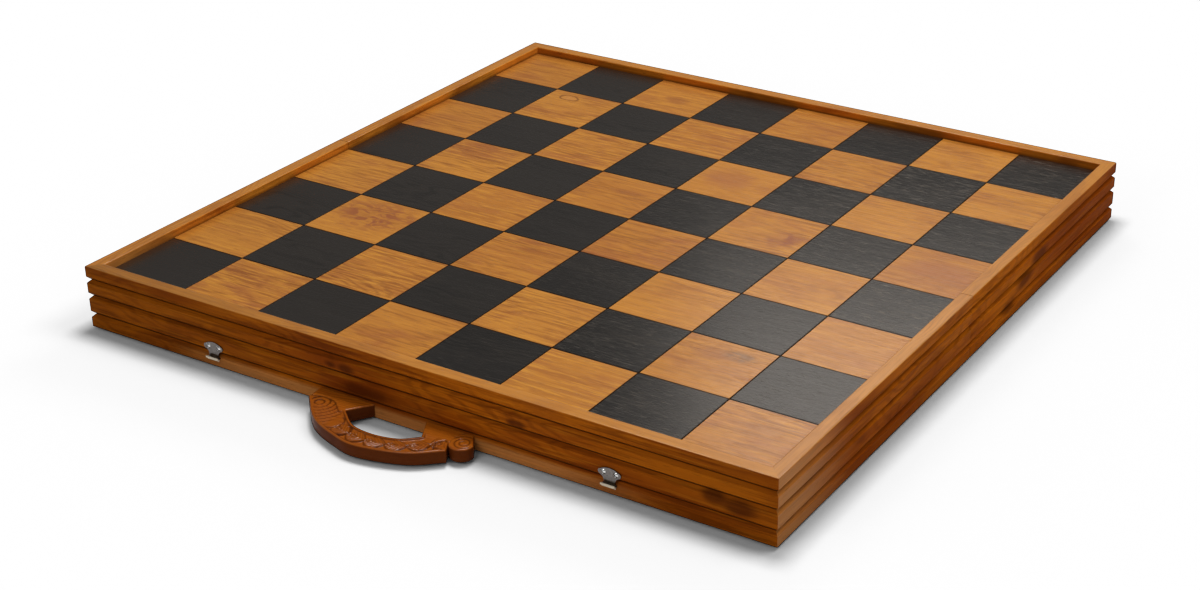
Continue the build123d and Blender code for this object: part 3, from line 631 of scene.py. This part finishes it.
# Dark knots: place along the rail, height, half length, half height, in metres
FRONT_KNOTS = [
    (-0.066, 0.0458, 0.014, 0.006),
    (-0.082, 0.0460, 0.010, 0.005),
    (-0.050, 0.0270, 0.050, 0.009),
    (0.132, 0.0445, 0.012, 0.006),
    (0.337, 0.0340, 0.014, 0.009),
    (0.362, 0.0300, 0.020, 0.009),
]
REAR_SIDE_KNOTS = [
    (0.131, 0.0185, 0.026, 0.009),
    (0.169, 0.0315, 0.030, 0.010),
    (0.207, 0.0450, 0.026, 0.009),
]
EDGE_ROUNDING = 0.35 * MM
DRAWER_WOOD = (rgb(0.46, 0.27, 0.11), rgb(0.34, 0.18, 0.065))
rails = {
    ("front", "X"): rail_wood(
        "front_rail_wood", "X", 0.0, FRONT_KNOTS, depth=1.12, painted_end_shade=0.48, painted_floor_glow=True
    ),
    ("rear", "X"): rail_wood("rear_rail_wood", "X", 0.31),
    ("front", "Y"): rail_wood(
        "front_side_wood", "Y", 0.57, gloss=(0.055, 0.004), depth=1.08, painted_facet_light=1.3
    ),
    ("rear", "Y"): rail_wood(
        "rear_side_wood", "Y", 0.83, REAR_SIDE_KNOTS, (0.002, 0.002), 1.15, painted_facet_light=1.3
    ),
}
spine_wood = rail_wood("spine_wood", "X", 0.46, grooves=())
drawer_x = plain_wood("drawer_wood_long", *DRAWER_WOOD)
drawer_y = plain_wood("drawer_wood_cross", *DRAWER_WOOD, "Y")
plywood = plain_wood("plywood", rgb(0.52, 0.36, 0.19), rgb(0.42, 0.27, 0.13))
nickel = metal("nickel", rgb(0.80, 0.78, 0.73), 0.14)
brass = metal("brass", rgb(0.62, 0.44, 0.17), 0.28)
light_wood = light_square_wood()
dark_wood = dark_square_wood()
green_felt = felt()
black_rubber = rubber()

for half in ("front", "rear"):
    dress(rails[half, "X"], f"{half}_rail")
    dress(spine_wood, f"{half}_spine_rail")
    dress(rails[half, "Y"], f"{half}_left_rail", f"{half}_right_rail", f"{half}_drawer_face")
    dress(light_wood, f"{half}_light_squares")
    dress(dark_wood, f"{half}_dark_squares")
    dress(plywood, f"{half}_board_panel", f"{half}_bottom_panel", f"{half}_drawer_bottom")
    dress(drawer_x, f"{half}_drawer_near_side", f"{half}_drawer_far_side", f"{half}_drawer_divider")
    dress(drawer_x, f"{half}_drawer_guides")
    dress(drawer_y, f"{half}_drawer_back", f"{half}_drawer_stops")
    dress(green_felt, f"{half}_drawer_felt")
    dress(black_rubber, f"{half}_feet")
    dress(brass, f"{half}_hinge_leaves", f"{half}_hinge_screws")
    for part in ("rail", "left_rail", "right_rail", "drawer_face"):
        soften(nodes[f"{half}_{part}"], EDGE_ROUNDING)
dress(brass, "hinge_pins")
dress(rails["front", "X"], "handle")
dress(nickel, "handle_screws", "latch_screws")
dress(domed_metal(), "strike_screws")
dress(strike_metal(), "left_strike", "right_strike")
for side in ("left", "right"):
    for part in ("latch_base", "latch_pin", "latch_lever", "latch_bail"):
        dress(nickel, f"{side}_{part}")


# ------------------------------------------------------------- carved handle
# All in mm: x along the rail from the board's middle, y outwards from the rail's face.

STEP = 0.8  # between neighbouring points of the outline and of the grid
NOTCH = (29.1, 0)  # where the right end of the finger opening meets the rail
NECK = [(76.8, 33.8), (70.6, 21.7)]  # the notch between the bow and the knob
KNOB_END = (93.4, 14.0)
BOW_OUT = [(-95.6, 19.1), (-65, 48.6), (-30, 63.6), (0, 68.5), (47, 56.2), (76.8, 33.8)]
BOW_IN = [(42.6, 25), (25.4, 38.5), (0, 43.4), (-25.4, 39.4), (-48.2, 22.3)]
BOW_MIDDLE = [
    (-62, 36), (-45.2, 46.1), (-29, 52), (-15, 54.8), (0.7, 56),
    (16.5, 53.8), (31.7, 49.2), (44.9, 41.8), (57, 33), (64, 26),
]
RIB = [(-97, 14), (-82, 10.5), (-67.3, 12.8), (-59.3, 18.9), (-51, 26.0)]
V_CUT = [(70.6, 21.7), (66.0, 19.0), (60.0, 26.0), (64.0, 36.0)]
FAN_CENTRE = (-80.0, 22.0)
KNOB_CENTRE = (82.5, 14.5)
TONGUES = [((-46.5, 44.0), 11.5), ((-30.0, 51.5), 10.0)]  # middle and radius
LEAF_PITCH = 21.0
ROUND_R = 1.9  # rounding of the handle's upper edges
ON_RAIL = 0.01  # points nearer to the rail's face than this lie on it


def curve_through(points, step=STEP):
    """A smooth curve through points in mm, cut into short steps."""
    points = [Vector(p) for p in points]
    ends = [2 * points[0] - points[1], *points, 2 * points[-1] - points[-2]]
    out = []
    for before, start, end, after in zip(ends, ends[1:], ends[2:], ends[3:]):
        count = max(2, round((end - start).length / step))
        for n in range(count):
            t = n / count
            pull = 0.5 * ((end - before) * t + (2 * before - 5 * start + 4 * end - after) * t * t)
            pull += 0.5 * (3 * start - before - 3 * end + after) * t**3
            out.append(start + pull)
    return out


def straight(start, end):
    """Points from start up to end, without end itself."""
    start, end = Vector(start), Vector(end)
    count = max(1, round((end - start).length / STEP))
    return [start.lerp(end, n / count) for n in range(count)]


def arc_through(start, middle, end):
    """Points of the clockwise arc through three places, without the last one."""
    a, b, c = (complex(*p) for p in (start, middle, end))
    w = (c - a) / (b - a)
    centre = (b - a) * (w - abs(w) ** 2) / (2j * w.imag) + a
    turn = cmath.phase((c - centre) / (a - centre))
    if turn > 0:
        turn -= 2 * math.pi
    count = round(abs(turn) * abs(a - centre) / STEP)
    spots = [centre + (a - centre) * cmath.exp(1j * turn * n / count) for n in range(count)]
    return [Vector((p.real, p.imag)) for p in spots]


def handle_outline():
    """The handle seen from above."""
    line = straight((-31.8, 0), (-98, 0)) + straight((-98, 0), BOW_OUT[0])
    line += curve_through(BOW_OUT) + straight(*NECK)
    line += arc_through(NECK[1], (84.4, 27.9), KNOB_END)
    line += straight(KNOB_END, (84.0, 0)) + straight((84.0, 0), NOTCH)
    line += straight(NOTCH, BOW_IN[0]) + curve_through(BOW_IN)
    return line + straight(BOW_IN[-1], (-31.8, 0))


def outline_runs(outline):
    """The stretches of the outline that stand free of the rail."""
    runs, run = [], []
    start = int(np.argmax(outline[:, 0] == NOTCH[0]))
    for spot, after in zip(np.roll(outline, -start, 0), np.roll(outline, -start - 1, 0)):
        if max(spot[1], after[1]) > ON_RAIL:
            run.append(spot)
        elif run:
            runs.append([*run, spot])
            run = []
    return [*runs, run] if run else runs


def distance_to_line(spots, line):
    """Distance from each spot to a polyline, with the step and side of the nearest point."""
    line = np.array([tuple(p) for p in line])
    start, step = line[:-1], line[1:] - line[:-1]
    gap = spots[:, None, :] - start[None]
    share = np.clip((gap * step).sum(2) / (step**2).sum(1), 0, 1)
    away = np.linalg.norm(gap - share[..., None] * step, axis=2)
    near = away.argmin(1)
    pick = np.arange(len(spots))
    lengths = np.linalg.norm(step, axis=1)
    run = np.concatenate([[0], np.cumsum(lengths)])
    at = run[near] + share[pick, near] * lengths[near]
    gap, step = gap[pick, near], step[near]
    side = np.sign(step[:, 0] * gap[:, 1] - step[:, 1] * gap[:, 0])
    return away[pick, near], at, side


def inside(spots, outline):
    """Whether each spot lies within the closed outline, by counting crossings."""
    x, y = spots[:, :1], spots[:, 1:]
    x0, y0 = outline.T
    x1, y1 = np.roll(outline, -1, 0).T
    crosses = (y0 > y) != (y1 > y)
    at = x0 + (y - y0) * (x1 - x0) / np.where(y1 == y0, 1, y1 - y0)
    return (crosses & (x < at)).sum(1) % 2 == 1


def ease(value, low, high):
    """0 below low, 1 above high, smooth between them."""
    t = np.clip((value - low) / (high - low), 0, 1)
    return t * t * (3 - 2 * t)


def cut_line(away, width):
    """1 on a line, falling to nothing within twice the width."""
    return np.exp(-((away / width) ** 2))


def carving(spots, edge):
    """Depth of the carving at each spot, and how much painted shade it gets as a cut."""
    x, y = spots[:, 0], spots[:, 1]
    away, at, _ = distance_to_line(spots, curve_through(BOW_MIDDLE, 0.5))
    bow = ease(x, -52, -44) * (1 - ease(x, 66, 72)) * ease(y, 17, 24)
    # a narrow border stands along both edges of the bow
    border = ease(edge, 2.2, 3.2) * bow
    depth = 0.55 * border
    cut_shade = cut_line(edge - 2.9, 0.55) * bow
    # leaves follow each other along the bow, veined towards their tips
    leaf_at = at - 26.0
    leaves = ease(leaf_at, 0, 3) * bow * ease(edge, 3.0, 4.0)
    part = (leaf_at / LEAF_PITCH) % 1.0
    half = 10.5 * np.sin(np.pi * np.clip(part * 0.96 + 0.04, 0, 1)) ** 0.7 * (1 - 0.25 * part)
    blade = 1 - ease(away, half - 0.8, half + 0.4)
    rib_line = cut_line(away - 0.25 * half * np.sin(2 * np.pi * part), 0.6)
    vein = 0.5 + 0.5 * np.cos(2 * np.pi * (leaf_at + 0.9 * away) / 3.6)
    depth += leaves * (0.9 * (1 - blade) - 0.5 * blade * (1 - (away / 11) ** 2))
    depth += leaves * blade * (0.55 * vein**3 + 0.7 * rib_line)
    cut_shade = np.maximum(cut_shade, leaves * np.maximum(cut_line(away - half, 0.9), blade * 0.7 * vein**4))
    cut_shade = np.maximum(cut_shade, leaves * blade * 0.8 * rib_line)
    # overlapping tongues fan out over the wide end, below a raised rib
    rib_away, _, rib_side = distance_to_line(spots, curve_through(RIB))
    reach = np.hypot(x - FAN_CENTRE[0], y - FAN_CENTRE[1])
    fan = (1 - ease(x, -52, -44)) * ease(edge, 1.8, 3.0) * ease(rib_side * rib_away, 1.0, 2.0)
    ring = (reach / 5.6) % 1.0
    depth += fan * (0.2 + 1.0 * ring)
    cut_shade = np.maximum(cut_shade, fan * 0.95 * ease(ring, 0.52, 0.86))
    depth -= 0.7 * cut_line(rib_away, 1.2) * (1 - ease(x, -52, -46))
    cut_shade = np.maximum(cut_shade, cut_line(rib_away - 2.2, 0.6) * (rib_side > 0) * (1 - ease(x, -52, -46)))
    for middle, radius in TONGUES:
        tongue = np.hypot(x - middle[0], y - middle[1])
        front = ease(x - middle[0] + 0.6 * (y - middle[1]), -6, 0) * ease(edge, 2.6, 3.4)
        line = cut_line(tongue - radius, 0.8) * front
        depth += 1.0 * line
        cut_shade = np.maximum(cut_shade, line)
    # the knob is a scroll: one cut winds in from the notch
    dx, dy = x - KNOB_CENTRE[0], y - KNOB_CENTRE[1]
    knob = ease(x, 69, 71.5) * ease(edge, 1.2, 2.2)
    turn = (np.arctan2(dy, dx) / (2 * np.pi)) % 1.0
    wind = ((np.hypot(dx, dy) - 1.0) / 4.6 + turn) % 1.0
    line = cut_line(np.minimum(wind, 1 - wind), 0.13) * knob * (np.hypot(dx, dy) > 2.0)
    depth += 0.9 * line
    cut_shade = np.maximum(cut_shade, line)
    # a deep V separates the tail from the knob's neck
    line = cut_line(distance_to_line(spots, V_CUT)[0], 0.9) * ease(edge, 0.3, 1.5)
    depth += 1.1 * line
    cut_shade = np.maximum(cut_shade, line)
    return np.maximum(depth, -0.2), cut_shade


def make_handle():
    """The carved handle: it stands in for the plain solid, whose outline it has."""
    low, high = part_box("handle")
    outline = np.array([tuple(p) for p in handle_outline()])
    ahead, behind = np.roll(outline, -1, 0), np.roll(outline, 1, 0)
    along = ahead - behind
    inward = np.stack([along[:, 1], -along[:, 0]], 1) / np.linalg.norm(along, axis=1)[:, None]
    runs = outline_runs(outline)

    def edge_of(spots):
        return np.min([distance_to_line(spots, run)[0] for run in runs], axis=0)

    # rings that follow the free edges closely, and a grid within them
    spots = [outline]
    for offset in (0.25, 0.7, 1.3, ROUND_R):
        ring = outline + inward * offset
        spots.append(ring[edge_of(ring) > 0.93 * offset])
    grid = np.meshgrid(np.arange(-99, 95, STEP), np.arange(0.4, 69, STEP))
    grid = np.stack(grid, -1).reshape(-1, 2)
    spots.append(grid[(edge_of(grid) > ROUND_R + 0.5) & inside(grid, outline)])
    spots = np.concatenate(spots)
    count = len(outline)
    edges = [(n, (n + 1) % count) for n in range(count)]
    flat = [Vector((float(a), float(b))) for a, b in spots]
    verts, _, faces = geometry.delaunay_2d_cdt(flat, edges, [], 1, 1e-4)[:3]
    points = np.array([tuple(v) for v in verts])
    edge = edge_of(points)
    depth, cut_shade = carving(points, edge)
    round_off = ROUND_R - np.sqrt(ROUND_R**2 - (ROUND_R - np.minimum(edge, ROUND_R)) ** 2)
    drop = round_off + depth * ease(edge, 0.2, 1.6)
    mesh_points = [
        (x * MM, FRONT_Y - y * MM, high.z - d * MM) for (x, y), d in zip(points, drop)
    ]
    faces = [tuple(f) for f in faces]
    # the walls, and the underside with a bevel of 1 mm along the free edges
    base = len(mesh_points)
    mesh_points += [(x * MM, FRONT_Y - y * MM, low.z + 1.2 * MM) for x, y in points[:count]]
    under = points[:count] + inward * (points[:count, 1:] > ON_RAIL)
    mesh_points += [(x * MM, FRONT_Y - y * MM, low.z) for x, y in under]
    for n, m in edges:
        faces.append((n, m, base + m, base + n))
        faces.append((base + n, base + m, base + count + m, base + count + n))
    cap = geometry.delaunay_2d_cdt(flat[:count], edges, [], 1, 1e-4)[2]
    faces += [tuple(base + count + n for n in f) for f in cap]
    mesh = bpy.data.meshes.new("handle_carving")
    mesh.from_pydata(mesh_points, [], faces)
    work = bmesh.new()
    work.from_mesh(mesh)
    bmesh.ops.recalc_face_normals(work, faces=work.faces)
    work.to_mesh(mesh)
    work.free()
    # the painted shade of the cuts, for the material
    painted_shade = mesh.attributes.new("cut_shade", "FLOAT", "POINT")
    values = np.zeros(len(mesh_points), dtype=np.float32)
    values[: len(points)] = cut_shade
    painted_shade.data.foreach_set("value", values)
    mesh.shade_smooth()
    mesh.set_sharp_from_angle(angle=math.radians(50))
    carved = bpy.data.objects.new("handle_carving", mesh)
    bpy.context.collection.objects.link(carved)
    carved.data.materials.append(carved_wood())
    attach(carved, "front_half")
    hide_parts("handle")


make_handle()


# ------------------------------------------------------- floor, light, camera


AMBIENT = 0.17  # the soft light from all round
SHINY_AMBIENT = 0.10  # what polished surfaces see of it, above the white horizon
FLOOR_LAP = 30 * MM  # the floor reaches this far under the rails


def make_floor():
    """A white floor that shows only the shadow.

    It is open under the board's middle, so that the underside can be seen from below.
    """
    mesh = bpy.data.meshes.new("floor")
    size = 12.0
    hole = HALF - FLOOR_LAP
    front, rear = FRONT_Y + FLOOR_LAP, REAR_Y - FLOOR_LAP
    outer = [(-size, -size, 0), (size, -size, 0), (size, size, 0), (-size, size, 0)]
    inner = [(-hole, front, 0), (hole, front, 0), (hole, rear, 0), (-hole, rear, 0)]
    sides = [(n, (n + 1) % 4, 4 + (n + 1) % 4, 4 + n) for n in range(4)]
    mesh.from_pydata(outer + inner, [], sides)
    floor = bpy.data.objects.new("floor", mesh)
    bpy.context.collection.objects.link(floor)
    s = Graph("floor_white")
    s.surface({"Base Color": rgb(0.75, 0.75, 0.75), "Roughness": 0.9, "Specular IOR Level": 0.0})
    floor.is_shadow_catcher = True
    mesh.materials.append(s.material)


def area_light(name, place, target, size, power, colour=(1, 1, 1), size_y=None):
    """A lamp at place that faces target; sizes in metres, power in watts."""
    data = bpy.data.lights.new(name, "AREA")
    data.shape = "RECTANGLE"
    data.size = size
    data.size_y = size_y or size
    data.energy = power
    data.color = colour
    lamp = bpy.data.objects.new(name, data)
    bpy.context.collection.objects.link(lamp)
    lamp.location = place
    direction = Vector(target) - Vector(place)
    lamp.rotation_euler = direction.to_track_quat("-Z", "Y").to_euler()


def make_world():
    """Soft grey light from all round; the camera sees plain white behind the floor's edge."""
    world = bpy.data.worlds.new("studio")
    bpy.context.scene.world = world
    world.use_nodes = True
    tree = world.node_tree
    link = tree.links.new

    def add(kind, values=(), **settings):
        node = tree.nodes.new("ShaderNode" + kind)
        for key, value in settings.items():
            setattr(node, key, value)
        for key, value in dict(values).items():
            node.inputs[key].default_value = value
        return node

    soft = tree.nodes["Background"]
    soft.inputs["Color"].default_value = WHITE
    white = add("Background", {"Color": WHITE, "Strength": 1.0})
    rays = add("LightPath")
    # 1 at the horizon and below it, 0 high up
    height = add("SeparateXYZ")
    link(add("TexCoord").outputs["Generated"], height.inputs[0])
    low = add("MapRange", {"From Min": 0.20, "From Max": -0.05}, interpolation_type="SMOOTHSTEP")
    link(height.outputs["Z"], low.inputs["Value"])
    # polished surfaces see the white horizon, and a dimmer light above it
    shiny = add("Math", operation="MAXIMUM")
    link(rays.outputs["Is Glossy Ray"], shiny.inputs[0])
    link(rays.outputs["Is Transmission Ray"], shiny.inputs[1])
    shiny_low = add("Math", operation="MULTIPLY")
    link(shiny.outputs[0], shiny_low.inputs[0])
    link(low.outputs["Result"], shiny_low.inputs[1])
    pale = add("Math", operation="MAXIMUM")
    link(rays.outputs["Is Camera Ray"], pale.inputs[0])
    link(shiny_low.outputs[0], pale.inputs[1])
    dim = add("MapRange", {"To Min": AMBIENT, "To Max": SHINY_AMBIENT})
    link(shiny.outputs[0], dim.inputs["Value"])
    link(dim.outputs["Result"], soft.inputs["Strength"])
    mix = add("MixShader")
    link(pale.outputs[0], mix.inputs[0])
    link(soft.outputs[0], mix.inputs[1])
    link(white.outputs[0], mix.inputs[2])
    link(mix.outputs[0], tree.nodes["World Output"].inputs[0])


def make_camera():
    """The photograph's camera: its place is given in board sides from the board's middle."""
    side = 2 * HALF
    place = Vector((1.34840, -2.10956, 1.10776)) * side + Vector((0, SEAM_Y, RIM_TOP))
    right = Vector((0.85694, 0.51542, -0.00027))
    up = Vector((-0.22757, 0.37882, 0.89705))
    data = bpy.data.cameras.new("camera")
    data.sensor_width = 36.0
    focal_pixels = 2037.75
    image_width = 1200
    data.lens = focal_pixels / image_width * data.sensor_width
    axis_pixel = 680
    data.shift_x = (image_width / 2 - axis_pixel) / image_width
    camera = bpy.data.objects.new("camera", data)
    bpy.context.collection.objects.link(camera)
    turn = Matrix((right, up, right.cross(up))).transposed().to_4x4()
    camera.matrix_world = Matrix.Translation(place) @ turn
    bpy.context.scene.camera = camera


WARM = (1.0, 0.92, 0.84)
make_floor()
make_world()
make_camera()
area_light("overhead", (-0.06, 0.24, 2.2), (0, 0, 0), 0.7, 29.5)
area_light("right_panel", (1.0, 0.4, 2.0), (0, 0, 0), 0.9, 11.0)
area_light("back_softbox", (-0.24, 1.25, 1.04), (0.36, -0.2, 0), 0.7, 2.7, WARM, 0.45)
area_light("front_fill", (0.1, -1.1, 0.7), (-0.1, -0.37, 0), 0.5, 1.3)
bpy.context.scene.view_settings.view_transform = "Standard"
